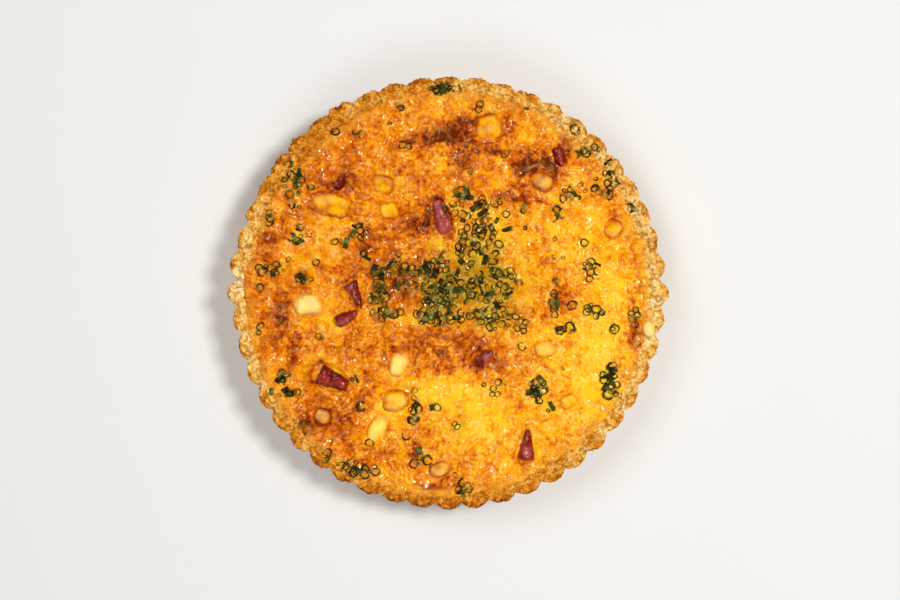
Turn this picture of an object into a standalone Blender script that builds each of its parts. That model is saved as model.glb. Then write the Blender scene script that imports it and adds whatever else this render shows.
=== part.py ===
"""A whole ham and cheese quiche, turned out of its fluted tin and standing on its flat base.

Axes: +Z is up, the origin is the centre of the underside. Lengths are in metres.
The crust is one shell of shortcrust pastry. The baked egg filling fills it to just under the rim.
Dice of ham and lumps of melting cheese sit in pockets of the filling, so each is a solid of its own.
"""

import math
from typing import NamedTuple

import bmesh
import bpy
from mathutils import Matrix

MM = 0.001

# ---------------------------------------------------------------- driving dimensions

RIM_RADIUS = 110.5 * MM  # to the crests of the flutes, at the rim
BASE_RADIUS = 102.5 * MM  # to the crests of the flutes, just above the underside
RIM_HEIGHT = 34.0 * MM
FLUTE_COUNT = 48
FLUTE_DEPTH = 3.1 * MM  # from a crest to a valley, at the rim
FLUTE_DEPTH_AT_BASE = 1.2 * MM
FLUTE_BREADTH = 0.7  # below 1 the crests are rounder and the valleys sharper
WALL_THICKNESS = 7.6 * MM  # from a valley to the filling, at the rim
BASE_THICKNESS = 4.5 * MM
EDGE_ROUND = 1.4 * MM  # the pastry's rounded bottom edge and rim
FILLING_LEVEL = 31.0 * MM  # where the filling meets the crust
DOME_HEIGHT = 1.0 * MM  # how much higher the filling stands half-way in
GAP = 0.3 * MM  # between touching pieces

HAM_THICKNESS = 7.0 * MM
CHEESE_THICKNESS = 9.0 * MM

POINTS_PER_FLUTE = 6
FILLING_SECTORS = 60
FILLING_RINGS = 14


class Overhang(NamedTuple):
    """Where the pastry puffed over the edge of the tin. The widths are half widths."""

    direction_deg: float
    reach_mm: float
    width_deg: float


OVERHANGS = (
    Overhang(180.0, 2.6, 3.4),
    Overhang(172.0, 2.4, 3.2),
    Overhang(0.0, 2.6, 3.0),
    Overhang(7.0, 1.6, 2.6),
    Overhang(123.0, 2.0, 2.6),
)


class Piece(NamedTuple):
    """A piece set in the filling, in millimetres and degrees. Its top stands proud of the filling."""

    x: float
    y: float
    length: float
    width: float
    turn: float
    proud: float


HAM_DICE = (
    Piece(-3.5, 39.0, 19.0, 9.5, 109.0, 2.2),
    Piece(-47.0, -0.5, 14.0, 11.0, -62.0, 2.2),
    Piece(-52.0, -12.5, 12.0, 8.0, 28.0, 1.6),
    Piece(-58.5, -44.5, 17.5, 12.5, -24.0, 2.4),
    Piece(40.5, -77.5, 17.0, 10.5, 84.0, 2.4),
    Piece(-55.0, 56.5, 8.0, 5.5, 62.0, 1.6),
    Piece(57.0, 69.5, 10.5, 6.5, -74.0, 1.6),
    Piece(19.0, -33.0, 11.0, 8.5, 40.0, 1.4),
)

CHEESE_LUMPS = (
    Piece(21.0, 84.0, 18.0, 17.0, 20.0, 2.0),
    Piece(48.0, 57.0, 12.5, 11.0, -30.0, 1.8),
    Piece(-33.5, 55.5, 13.0, 11.0, -15.0, 2.0),
    Piece(-30.0, 42.0, 11.0, 10.0, 10.0, 1.6),
    Piece(-59.5, 45.0, 23.0, 13.0, -12.0, 2.2),
    Piece(-71.5, -6.0, 16.5, 13.0, 4.0, 2.6),
    Piece(-36.0, -69.0, 16.0, 11.5, 62.0, 2.4),
    Piece(-27.0, -55.0, 15.0, 12.0, 10.0, 2.0),
    Piece(-25.5, -36.5, 13.5, 10.5, 75.0, 1.8),
    Piece(49.5, -28.5, 12.5, 10.0, 5.0, 1.8),
    Piece(61.5, -55.0, 9.5, 8.0, 30.0, 1.6),
    Piece(84.5, 32.5, 10.5, 10.0, 60.0, 1.8),
    Piece(-64.5, -63.0, 9.5, 9.0, -20.0, 1.6),
    Piece(-4.0, -90.0, 12.0, 9.0, 15.0, 1.6),
)


# ---------------------------------------------------------------- helpers


def clear_scene():
    for old in list(bpy.data.objects):
        bpy.data.objects.remove(old)


def food_material(name, colour, roughness):
    """A Principled BSDF with the food's colour. None of it is metal."""
    material = bpy.data.materials.new(name)
    material.use_nodes = True
    shader = material.node_tree.nodes["Principled BSDF"]
    shader.inputs["Base Color"].default_value = (*colour, 1.0)
    shader.inputs["Roughness"].default_value = roughness
    shader.inputs["Metallic"].default_value = 0.0
    return material


def object_from(mesh_builder, name, material):
    """Turns a finished bmesh into a named object with one material."""
    bmesh.ops.recalc_face_normals(mesh_builder, faces=mesh_builder.faces[:])
    mesh = bpy.data.meshes.new(name)
    mesh_builder.to_mesh(mesh)
    mesh_builder.free()
    mesh.materials.append(material)
    mesh.shade_smooth()
    mesh.set_sharp_from_angle(angle=math.radians(40))
    made = bpy.data.objects.new(name, mesh)
    bpy.context.scene.collection.objects.link(made)
    return made


def ring(mesh_builder, points):
    return [mesh_builder.verts.new(point) for point in points]


def bridge(mesh_builder, lower, upper):
    """Joins two closed rings of the same count with quads."""
    count = len(lower)
    for i in range(count):
        j = (i + 1) % count
        mesh_builder.faces.new((lower[i], lower[j], upper[j], upper[i]))


def around(count):
    return [2 * math.pi * i / count for i in range(count)]


# ---------------------------------------------------------------- crust


def flute(angle):
    """0 in the valley between two flutes and 1 on a crest: the crests are broad, the valleys narrow."""
    return abs(math.cos(FLUTE_COUNT * angle / 2)) ** FLUTE_BREADTH


def overhang(angle):
    """How far the rim bulges beyond the flutes in this direction."""
    reach = 0.0
    for bulge in OVERHANGS:
        off = math.degrees(angle) - bulge.direction_deg
        off = (off + 180) % 360 - 180
        share = math.exp(-((off / bulge.width_deg) ** 2))
        reach = max(reach, bulge.reach_mm * MM * share)
    return reach


def rim_wave(angle):
    """The rim was trimmed by hand, so its height wanders by about a millimetre."""
    return 0.5 * MM * math.sin(5 * angle + 0.7) + 0.35 * MM * math.sin(13 * angle + 2.1)


def outer_radius(angle, rise):
    """Radius of the fluted wall, where rise is 0 at the underside and 1 at the rim."""
    crest = BASE_RADIUS + (RIM_RADIUS - BASE_RADIUS) * rise
    depth = FLUTE_DEPTH_AT_BASE + (FLUTE_DEPTH - FLUTE_DEPTH_AT_BASE) * rise
    return crest - depth * (1 - flute(angle)) + overhang(angle) * rise**4


def inner_radius(height):
    """Radius of the plain inner wall, which leans out as the tin did."""
    at_rim = RIM_RADIUS - FLUTE_DEPTH - WALL_THICKNESS
    lean = (RIM_RADIUS - BASE_RADIUS) / RIM_HEIGHT
    return at_rim - lean * (RIM_HEIGHT - height)


def build_crust(material):
    angles = around(FLUTE_COUNT * POINTS_PER_FLUTE)

    def wall_ring(rise, inset, drop=0.0):
        """A ring on the outer wall, moved in by inset. It shares the rim's wave more the higher it is."""
        points = []
        for angle in angles:
            radius = outer_radius(angle, rise) - inset
            height = (RIM_HEIGHT + rim_wave(angle)) * rise - drop
            points.append((radius * math.cos(angle), radius * math.sin(angle), height))
        return points

    def inner_ring(height, wave_share=0.0, outset=0.0):
        radius = inner_radius(height) + outset
        return [
            (radius * math.cos(a), radius * math.sin(a), height + wave_share * rim_wave(a))
            for a in angles
        ]

    crust = bmesh.new()
    rings = [
        ring(crust, wall_ring(0.0, EDGE_ROUND)),
        ring(crust, wall_ring(EDGE_ROUND / RIM_HEIGHT, 0.0)),
        ring(crust, wall_ring(0.7, 0.0)),
        ring(crust, wall_ring(1.0, 0.0, drop=EDGE_ROUND)),
        ring(crust, wall_ring(1.0, EDGE_ROUND)),
        ring(crust, inner_ring(RIM_HEIGHT - 0.3 * EDGE_ROUND, wave_share=1.0, outset=EDGE_ROUND)),
        ring(crust, inner_ring(RIM_HEIGHT - 1.6 * EDGE_ROUND)),
        ring(crust, inner_ring(BASE_THICKNESS)),
    ]
    for lower, upper in zip(rings, rings[1:]):
        bridge(crust, lower, upper)
    crust.faces.new(list(reversed(rings[0])))
    crust.faces.new(rings[-1])
    return object_from(crust, "crust", material)


# ---------------------------------------------------------------- filling


def filling_height(x, y):
    """The baked surface: a slight dome with broad, shallow swells that die out at the crust."""
    share = min(1.0, math.hypot(x, y) / inner_radius(FILLING_LEVEL))
    dome = DOME_HEIGHT * (1 - share**4)
    swell = 0.45 * MM * math.sin(72 * x + 1.1) * math.cos(61 * y - 0.6)
    ripple = 0.3 * MM * math.sin(131 * (x + 0.6 * y)) * math.cos(118 * (y - 0.4 * x) + 0.9)
    return FILLING_LEVEL + dome + (swell + ripple) * (1 - share**6)


def build_filling(material):
    filling = bmesh.new()
    angles = around(FILLING_SECTORS)

    def side_ring(height):
        radius = inner_radius(height) - GAP
        return [(radius * math.cos(a), radius * math.sin(a), height) for a in angles]

    bottom = ring(filling, side_ring(BASE_THICKNESS + GAP))
    edge = ring(filling, side_ring(FILLING_LEVEL))
    bridge(filling, bottom, edge)
    filling.faces.new(list(reversed(bottom)))

    outer = edge
    top_radius = inner_radius(FILLING_LEVEL) - GAP
    for step in range(FILLING_RINGS - 1, 0, -1):
        radius = top_radius * step / FILLING_RINGS
        places = [(radius * math.cos(a), radius * math.sin(a)) for a in angles]
        inner = ring(filling, [(x, y, filling_height(x, y)) for x, y in places])
        bridge(filling, outer, inner)
        outer = inner
    centre = filling.verts.new((0.0, 0.0, filling_height(0.0, 0.0)))
    for i in range(FILLING_SECTORS):
        filling.faces.new((outer[i], outer[(i + 1) % FILLING_SECTORS], centre))
    return object_from(filling, "filling", material)


# ---------------------------------------------------------------- ham and cheese


def ham_die(name, piece, material, grow=0.0):
    """A knife-cut die of ham: a wedge that narrows to its top and to one end, with its edges eased."""
    die = bmesh.new()
    bmesh.ops.create_cube(die, size=1.0)
    for vert in die.verts:
        top = vert.co.z > 0
        narrow_end = vert.co.x > 0
        vert.co.x *= piece.length * MM * (0.86 if top else 1.0)
        vert.co.y *= piece.width * MM * (0.6 if top else 1.0) * (0.5 if narrow_end else 1.0)
        vert.co.z *= HAM_THICKNESS
    bmesh.ops.bevel(die, geom=die.edges[:], offset=0.7 * MM, segments=1, affect="EDGES")
    grow_by(die, grow)
    return object_from(die, name, material)


def cheese_lump(name, piece, material, grow=0.0):
    """A cube of cheese that has melted into a rounded block."""
    lump = bmesh.new()
    bmesh.ops.create_icosphere(lump, subdivisions=2, radius=1.0)
    squareness = 0.6
    sizes = (piece.length * MM, piece.width * MM, CHEESE_THICKNESS)
    for vert in lump.verts:
        for axis, size in enumerate(sizes):
            value = vert.co[axis]
            vert.co[axis] = math.copysign(abs(value) ** squareness, value) * size / 2
    grow_by(lump, grow)
    return object_from(lump, name, material)


def grow_by(mesh_builder, distance):
    """Moves every point outwards, so that a pocket clears the piece that sits in it."""
    mesh_builder.normal_update()
    moves = [(vert, vert.normal * distance) for vert in mesh_builder.verts]
    for vert, move in moves:
        vert.co += move


def cut_pocket(filling, cutter):
    """Hides the cutter from renders and takes its shape out of the filling."""
    cutter.hide_render = True
    cutter.display_type = "WIRE"
    pocket = filling.modifiers.new(cutter.name, "BOOLEAN")
    pocket.operation = "DIFFERENCE"
    pocket.solver = "EXACT"
    pocket.object = cutter


def set_in_filling(filling, shape, name, piece, thickness, tilt_deg, material):
    """Makes a piece and its slightly larger pocket, both sunk at the same place."""
    x = piece.x * MM
    y = piece.y * MM
    height = filling_height(x, y) + piece.proud * MM - thickness / 2
    turned = Matrix.Rotation(math.radians(piece.turn), 4, "Z")
    tilted = Matrix.Rotation(math.radians(tilt_deg), 4, "X")
    place = Matrix.Translation((x, y, height)) @ turned @ tilted
    solid = shape(name, piece, material)
    cutter = shape(f"pocket_for_{name}", piece, material, grow=1.5 * GAP)
    solid.matrix_world = place
    cutter.matrix_world = place
    cut_pocket(filling, cutter)


# ---------------------------------------------------------------- the quiche


def main():
    clear_scene()
    pastry = food_material("shortcrust", (0.62, 0.33, 0.08), 0.7)
    custard = food_material("baked_egg", (0.78, 0.34, 0.03), 0.4)
    ham = food_material("ham", (0.33, 0.05, 0.03), 0.35)
    cheese = food_material("melted_cheese", (0.85, 0.52, 0.14), 0.35)

    build_crust(pastry)
    filling = build_filling(custard)
    for number, piece in enumerate(HAM_DICE, start=1):
        tilt = 9.0 if number % 2 else -9.0
        set_in_filling(filling, ham_die, f"ham_{number}", piece, HAM_THICKNESS, tilt, ham)
    for number, piece in enumerate(CHEESE_LUMPS, start=1):
        tilt = 5.0 if number % 2 else -5.0
        name = f"cheese_{number}"
        set_in_filling(filling, cheese_lump, name, piece, CHEESE_THICKNESS, tilt, cheese)


main()
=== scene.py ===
# %% [markdown]
# A whole ham and cheese quiche is made here, around the plain solids of the frame.
# The frame gives the places and sizes: the crust's rim, the level of the filling, and where each die of
# ham and lump of cheese sits. This script gives each of them its baked surface.
# Lengths in the script are in millimetres and become metres only when a mesh is made.

# %% Load the frame
import math
from typing import NamedTuple

import bmesh
import bpy
import numpy as np
from mathutils import Euler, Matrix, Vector
from mathutils.bvhtree import BVHTree


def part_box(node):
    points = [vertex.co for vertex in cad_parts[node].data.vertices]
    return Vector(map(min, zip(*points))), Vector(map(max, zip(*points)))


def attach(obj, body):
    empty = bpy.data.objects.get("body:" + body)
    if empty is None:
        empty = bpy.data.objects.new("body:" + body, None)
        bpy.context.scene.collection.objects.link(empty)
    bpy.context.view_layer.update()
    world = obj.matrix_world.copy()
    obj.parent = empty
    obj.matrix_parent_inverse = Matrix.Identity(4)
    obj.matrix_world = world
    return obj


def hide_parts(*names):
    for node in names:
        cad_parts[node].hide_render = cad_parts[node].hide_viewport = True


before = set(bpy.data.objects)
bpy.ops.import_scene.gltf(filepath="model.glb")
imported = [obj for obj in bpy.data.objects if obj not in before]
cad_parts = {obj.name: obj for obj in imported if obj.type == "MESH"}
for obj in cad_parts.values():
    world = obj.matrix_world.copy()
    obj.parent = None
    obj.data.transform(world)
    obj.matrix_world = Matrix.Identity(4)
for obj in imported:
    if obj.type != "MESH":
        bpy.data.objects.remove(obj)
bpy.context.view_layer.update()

MM = 0.001


# %% [markdown]
# The sizes that the pieces share are read from the frame's boxes. The crust's depth in Y runs over two
# ordinary flutes, while its width in X runs over two that puffed out, so the rim's radius comes from Y.
# Nothing may rise above HIGHEST, which leaves the baked surface a little room over the frame.

# %% Measure the frame
_, crust_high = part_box("crust")
filling_low, filling_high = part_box("filling")
RIM_RADIUS = crust_high[1] / MM
FILLING_RADIUS = filling_high[0] / MM
FLOOR_OF_FILLING = filling_low[2] / MM
RIM_HEIGHT = 34.0
FILLING_LEVEL = 31.0
HIGHEST = crust_high[2] / MM + 0.9
FLUTES = 48
BASE_RADIUS = 102.5
CRUST_FLOOR = 4.6
print("rim radius", round(RIM_RADIUS, 1), "filling radius", round(FILLING_RADIUS, 1))

# %% [markdown]
# Nothing on baked food is even, so nearly every shape and colour below is disturbed by noise. This is
# gradient noise: each corner of a lattice gets a random direction, and the space between is blended.
# It takes all points of a mesh at once, which is much quicker than asking for them one by one.


# %% Noise for the shapes
def bumps(points, cell, seed):
    """Smooth noise from about -1 to 1 at each row of points. One bump is about one cell wide."""
    rng = np.random.default_rng(seed)
    ways = rng.normal(size=(256, 3))
    ways /= np.linalg.norm(ways, axis=1, keepdims=True)
    shuffle = rng.permutation(256)
    scaled = points / cell
    corner = np.floor(scaled).astype(int)
    inside = scaled - corner
    ease = inside**3 * (inside * (inside * 6 - 15) + 10)
    total = np.zeros(len(points))
    for step in np.ndindex(2, 2, 2):
        ix, iy, iz = ((corner + step) & 255).T
        way = ways[shuffle[(shuffle[(shuffle[ix] + iy) & 255] + iz) & 255]]
        weight = np.prod(np.where(step, ease, 1 - ease), axis=1)
        total += weight * np.sum(way * (inside - step), axis=1)
    return total * 1.6


def layered(points, cell, seed, layers=3):
    """Bumps with smaller bumps on them, each layer half as wide and half as high."""
    return sum(bumps(points, cell / 2**k, seed + k) / 2**k for k in range(layers))


def crumbs(points, cell, seed):
    """Distances to the nearest and second nearest of random spots, of which each cell holds one."""
    rng = np.random.default_rng(seed)
    shuffle = rng.permutation(256)
    spots = rng.random((256, 3))
    scaled = points / cell
    corner = np.floor(scaled).astype(int)
    inside = scaled - corner
    nearest = np.full(len(points), 9.0)
    second = np.full(len(points), 9.0)
    for step in np.ndindex(3, 3, 3):
        offset = np.array(step) - 1
        ix, iy, iz = ((corner + offset) & 255).T
        pick = shuffle[(shuffle[(shuffle[ix] + iy) & 255] + iz) & 255]
        gap = np.linalg.norm(spots[pick] + offset - inside, axis=1)
        second = np.minimum(second, np.maximum(nearest, gap))
        nearest = np.minimum(nearest, gap)
    return nearest, second


def ease_between(value, low, high):
    """0 below low and 1 above high, with a smooth rise between."""
    share = np.clip((value - low) / (high - low), 0, 1)
    return share * share * (3 - 2 * share)


def flat(x, y):
    return np.column_stack((x, y, np.zeros_like(x)))


# %% [markdown]
# Node trees are long to write out. These helpers make one node with its inputs in one call, and the
# Formula class turns ordinary sums into Math nodes, for geometry and for materials alike.


# %% Helpers for node trees
def node(tree, kind, inputs=None, **settings):
    """Adds a node. A value in inputs is a socket to link from, or a plain value."""
    made = tree.nodes.new(kind)
    for key, value in settings.items():
        setattr(made, key, value)
    for key, value in (inputs or {}).items():
        if isinstance(value, Formula):
            value = value.socket
        if isinstance(value, bpy.types.NodeSocket):
            tree.links.new(value, made.inputs[key])
        else:
            made.inputs[key].default_value = value
    return made


class Formula:
    """A value in a node tree, which can be used in ordinary sums."""

    def __init__(self, tree, socket):
        self.tree = tree
        self.socket = socket

    def do(self, operation, *others, clamp=False):
        inputs = dict(enumerate((self, *others)))
        made = node(self.tree, "ShaderNodeMath", inputs, operation=operation, use_clamp=clamp)
        return Formula(self.tree, made.outputs[0])

    def __add__(self, other):
        return self.do("ADD", other)

    def __sub__(self, other):
        return self.do("SUBTRACT", other)

    def __mul__(self, other):
        return self.do("MULTIPLY", other)

    def __truediv__(self, other):
        return self.do("DIVIDE", other)

    def clamped(self):
        return self.do("MULTIPLY", 1.0, clamp=True)

    def between(self, low, high, to_low=0.0, to_high=1.0):
        """Maps low..high to to_low..to_high with a smooth rise."""
        inputs = {"Value": self, 1: low, 2: high, 3: to_low, 4: to_high}
        made = node(self.tree, "ShaderNodeMapRange", inputs, interpolation_type="SMOOTHSTEP")
        return Formula(self.tree, made.outputs[0])


def new_geometry_tree(name, numbers):
    """An empty geometry tree with a Geometry input and named number inputs, which it also returns."""
    tree = bpy.data.node_groups.new(name, "GeometryNodeTree")
    tree.interface.new_socket("Geometry", in_out="INPUT", socket_type="NodeSocketGeometry")
    for label, value in numbers.items():
        kind = "NodeSocketInt" if isinstance(value, int) else "NodeSocketFloat"
        tree.interface.new_socket(label, in_out="INPUT", socket_type=kind).default_value = value
    tree.interface.new_socket("Geometry", in_out="OUTPUT", socket_type="NodeSocketGeometry")
    entry = tree.nodes.new("NodeGroupInput")
    return tree, {socket.name: Formula(tree, socket) for socket in entry.outputs if socket.name}


def grow(source, tree, numbers, name):
    """Runs a geometry tree on an object and returns the result as a plain mesh object."""
    modifier = source.modifiers.new("grow", "NODES")
    modifier.node_group = tree
    sockets = {item.name: item.identifier for item in tree.interface.items_tree if item.in_out == "INPUT"}
    for label, value in numbers.items():
        modifier[sockets[label]] = value
    settled = source.evaluated_get(bpy.context.evaluated_depsgraph_get())
    mesh = bpy.data.meshes.new_from_object(settled)
    mesh.name = name
    source.modifiers.remove(modifier)
    bpy.data.objects.remove(source)
    return place(mesh, name)


def place(mesh, name):
    made = bpy.data.objects.new(name, mesh)
    bpy.context.scene.collection.objects.link(made)
    return made


def mesh_from(name, points, faces):
    """A mesh from points in millimetres."""
    mesh = bpy.data.meshes.new(name)
    mesh.from_pydata((np.asarray(points) * MM).tolist(), [], [tuple(face) for face in faces])
    mesh.shade_smooth()
    return mesh


def points_of(mesh):
    """All vertices in millimetres, one row each."""
    flat_list = np.empty(len(mesh.vertices) * 3)
    mesh.vertices.foreach_get("co", flat_list)
    return flat_list.reshape(-1, 3) / MM


def move_points(mesh, points):
    mesh.vertices.foreach_set("co", (points * MM).ravel())
    mesh.update()


def normals_of(mesh):
    flat_list = np.empty(len(mesh.vertices) * 3)
    mesh.vertex_normals.foreach_get("vector", flat_list)
    return flat_list.reshape(-1, 3)


def store(mesh, name, values):
    """Keeps one number for each vertex, for the materials to read."""
    mesh.attributes.new(name, "FLOAT", "POINT").data.foreach_set("value", np.asarray(values, dtype=float))


# %% [markdown]
# Colours are written as six hexadecimal digits, as a colour picker gives them, and turned from sRGB to
# the linear numbers that the shaders need. A material here is one Principled BSDF fed by a few masks.
# What shines on oily baked food is tinted warm, or else the browns look grey.


# %% Helpers for materials
def colour(digits):
    """An sRGB colour such as "D7710B" as linear red, green, blue and alpha."""
    parts = [int(digits[i : i + 2], 16) / 255 for i in (0, 2, 4)]
    linear = [c / 12.92 if c <= 0.04045 else ((c + 0.055) / 1.055) ** 2.4 for c in parts]
    return (*linear, 1.0)


def new_material(name, roughness):
    material = bpy.data.materials.new(name)
    material.use_nodes = True
    shader = material.node_tree.nodes["Principled BSDF"]
    shader.inputs["Roughness"].default_value = roughness
    return material, material.node_tree, shader


def speckle(tree, size, detail=3.0, seed=0.0):
    """Noise from 0 to 1 whose blotches are about size millimetres wide."""
    where = node(tree, "ShaderNodeTexCoord").outputs["Object"]
    inputs = {"Vector": where, "Scale": 1 / (size * MM), "Detail": detail, "W": seed}
    return Formula(tree, node(tree, "ShaderNodeTexNoise", inputs, noise_dimensions="4D").outputs["Fac"])


def stored(tree, name):
    return Formula(tree, node(tree, "ShaderNodeAttribute", attribute_name=name).outputs["Fac"])


def mix(tree, share, first, second):
    """A colour between two colours, each a socket or six digits."""
    inputs = {0: share}
    for key, value in ((6, first), (7, second)):
        inputs[key] = colour(value) if isinstance(value, str) else value
    return node(tree, "ShaderNodeMix", inputs, data_type="RGBA").outputs[2]


def ramp(tree, value, stops):
    """A colour ramp. The stops are pairs of a position and six digits."""
    made = node(tree, "ShaderNodeValToRGB", {"Fac": value})
    while len(made.color_ramp.elements) < len(stops):
        made.color_ramp.elements.new(0.5)
    for element, (position, digits) in zip(made.color_ramp.elements, stops):
        element.position = position
        element.color = colour(digits)
    return made.outputs["Color"]


def finish_shader(tree, shader, base, roughness, grain, depth, strength, **uniform):
    """Links colour, roughness and a faint bump, and sets the inputs that are the same all over."""
    tree.links.new(base, shader.inputs["Base Color"])
    tree.links.new(roughness.socket, shader.inputs["Roughness"])
    inputs = {"Height": grain, "Distance": depth * MM, "Strength": strength}
    bump = node(tree, "ShaderNodeBump", inputs)
    tree.links.new(bump.outputs["Normal"], shader.inputs["Normal"])
    for name, value in uniform.items():
        shader.inputs[name.replace("_", " ")].default_value = value


WARM_SHINE = colour("FFE6BC")

# %% [markdown]
# The quiche is looked at from straight above. The crust's rim stands a little nearer to the camera than
# the floor, so the distance is measured from the rim. A lens of 50 mm keeps the flutes undistorted.

# %% Camera
VIEW_WIDTH = 458
LENS = 50.0
SENSOR = 36.0
camera_data = bpy.data.cameras.new("camera")
camera_data.lens = LENS
camera_data.sensor_width = SENSOR
camera_data.clip_end = 50.0
camera = bpy.data.objects.new("camera", camera_data)
camera.location = (1.0 * MM, -3.6 * MM, (RIM_HEIGHT + VIEW_WIDTH * LENS / SENSOR) * MM)
bpy.context.scene.collection.objects.link(camera)
bpy.context.scene.camera = camera
print("the camera is", round(camera.location.z, 3), "m up")

# %% [markdown]
# The light is that of a bright kitchen. The window is high on the right and fairly small, so every lump
# has a lit and a shaded side. Two larger lamps, the sky and a pale wall, fill the shadows from the left
# and from the front. The white world stays weak, because a strong one lays a pale veil on oily food.


# %% Light and floor
def lamp(name, where, size, watts):
    data = bpy.data.lights.new(name, "AREA")
    data.size = size
    data.energy = watts
    made = bpy.data.objects.new(name, data)
    made.location = where
    made.rotation_euler = (-Vector(where)).to_track_quat("-Z", "Y").to_euler()
    bpy.context.scene.collection.objects.link(made)


def set_world(strength):
    world = bpy.data.worlds.new("room")
    world.use_nodes = True
    background = world.node_tree.nodes["Background"]
    background.inputs["Color"].default_value = (1.0, 1.0, 1.0, 1.0)
    background.inputs["Strength"].default_value = strength
    bpy.context.scene.world = world


lamp("window", (0.75, 0.25, 1.55), 0.36, 20.5)
lamp("skylight", (-0.8, 0.5, 1.6), 0.9, 10.5)
lamp("pale_wall", (-0.2, -1.1, 1.5), 0.9, 8.5)
set_world(0.12)
bpy.context.scene.view_settings.view_transform = "Standard"

FLOOR_REACH = 2500
FLOOR_LEVEL = -0.2
corners = ((-1, -1), (1, -1), (1, 1), (-1, 1))
floor_points = [(FLOOR_REACH * right, FLOOR_REACH * back, FLOOR_LEVEL) for right, back in corners]
floor_mesh = mesh_from("floor", floor_points, [(0, 1, 2, 3)])
floor = place(floor_mesh, "floor")
floor_paint, _, floor_shader = new_material("pale_floor", 0.8)
floor_shader.inputs["Base Color"].default_value = colour("E4E4E0")
floor_mesh.materials.append(floor_paint)
print("three lamps and a floor", 2 * FLOOR_REACH, "mm wide")

# %% [markdown]
# The dice of ham and lumps of cheese come first, because the skin of the filling rises and tears around
# them. Each keeps the place of its solid. The solid's own points give its centre, its longer direction
# and its half sizes, and from those any point of the filling knows how near it is to the piece.

# %% Find the pieces in the frame
HAM = sorted(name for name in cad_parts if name.startswith("ham_"))
CHEESE = sorted(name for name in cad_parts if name.startswith("cheese_"))


class Outline(NamedTuple):
    """A solid seen from above, in millimetres. Its far end is the one with the larger Y."""

    centre: np.ndarray
    long_way: np.ndarray
    short_way: np.ndarray
    half_long: float
    half_wide_near: float
    half_wide_far: float
    top: float


def outline_of(name):
    points = points_of(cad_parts[name].data)
    plan = points[:, :2]
    centre = (plan.max(0) + plan.min(0)) / 2
    values, ways = np.linalg.eigh(np.cov((plan - centre).T))
    short_way, long_way = ways.T
    long_way = long_way * math.copysign(1, long_way[1])
    along = (plan - centre) @ long_way
    across = np.abs((plan - centre) @ short_way)
    half_long = np.abs(along).max()
    near_end = across[along < -0.5 * half_long].max()
    far_end = across[along > 0.5 * half_long].max()
    return Outline(centre, long_way, short_way, half_long, near_end, far_end, points[:, 2].max())


def along_and_across(name, x, y, narrowing=0.0):
    """Where a point lies in the piece's own directions. Each is 1 at the end or side of the piece."""
    piece = outlines[name]
    from_centre = np.column_stack((x, y)) - piece.centre
    along = from_centre @ piece.long_way / piece.half_long
    half_wide = np.interp(along, (-1, 1), (piece.half_wide_near, piece.half_wide_far))
    return along, from_centre @ piece.short_way / half_wide / width_at(along, narrowing)


def width_at(along, narrowing):
    """How wide a piece is at a place along it, if it narrows by this share towards one end."""
    return 1 - abs(narrowing) * np.clip((1 + along * math.copysign(1, narrowing)) / 2, 0, 1)


def nearness(name, x, y, narrowing=0.0, power=2.6):
    """1 on the outline of a piece, less inside and more outside."""
    along, across = along_and_across(name, x, y, narrowing)
    return (np.abs(along) ** power + np.abs(across) ** power) ** (1 / power)


outlines = {name: outline_of(name) for name in HAM + CHEESE}
print(len(HAM), "dice of ham and", len(CHEESE), "lumps of cheese")

# %% [markdown]
# What the solids can't tell is listed for each piece: how a die of ham narrows, how high its
# ridge is and how pink it is, how browned or creamy a lump of cheese is, and how far the egg covers it.

# %% How each piece looks
HAM_CUTS = {
    # how much one end narrows (minus: the near end), height of its ridge, how far it is covered, how pink,
    # partly a painted highlight
    "ham_1": (0.00, 1.0, 0.1, 0.75),
    "ham_2": (-0.60, 1.2, 0.0, 0.45),
    "ham_3": (0.00, 0.5, 0.4, 0.25),
    "ham_4": (0.00, 0.9, -0.3, 0.15),
    "ham_5": (0.45, 1.3, -0.4, 0.55),
    "ham_6": (0.00, 0.4, 0.1, 0.3),
    "ham_7": (0.00, 0.4, 0.4, 0.0),
    "ham_8": (0.00, 0.4, 0.6, 0.6),
}
CHEESE_LOOKS = {
    # how browned it is, how creamy, how far it is covered
    "cheese_1": (0.44, 0.0, 0.1),
    "cheese_2": (0.50, 0.15, 0.3),
    "cheese_3": (0.36, 0.05, 0.5),
    "cheese_4": (0.30, 0.05, 0.8),
    "cheese_5": (0.38, 0.10, 0.5),
    "cheese_6": (0.15, 0.65, 0.2),
    "cheese_7": (0.12, 0.35, 0.4),
    "cheese_8": (0.28, 0.15, 0.5),
    "cheese_9": (0.12, 0.50, 0.6),
    "cheese_10": (0.24, 0.20, 0.6),
    "cheese_11": (0.22, 0.15, 0.7),
    "cheese_12": (0.36, 0.00, 0.1),
    "cheese_13": (0.56, 0.15, 0.3),
    "cheese_14": (0.50, 0.15, 0.3),
}
print("browned most:", max(CHEESE_LOOKS, key=CHEESE_LOOKS.get))

# %% [markdown]
# The filling is one baked sheet of egg and melted cheese. Its surface is a height above a flat disc, so
# a disc of even triangles is moved up and down by a sum of simple shapes: a shallow dome, broad swells,
# rounded blisters with creases between them, melted strands, and small pits where bubbles burst.
# The disc's ring k has 6k points, which keeps all triangles about the same size from centre to edge.

# %% A disc of even triangles
SKIN_RADIUS = 105.6
SKIN_RINGS = 178


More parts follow.
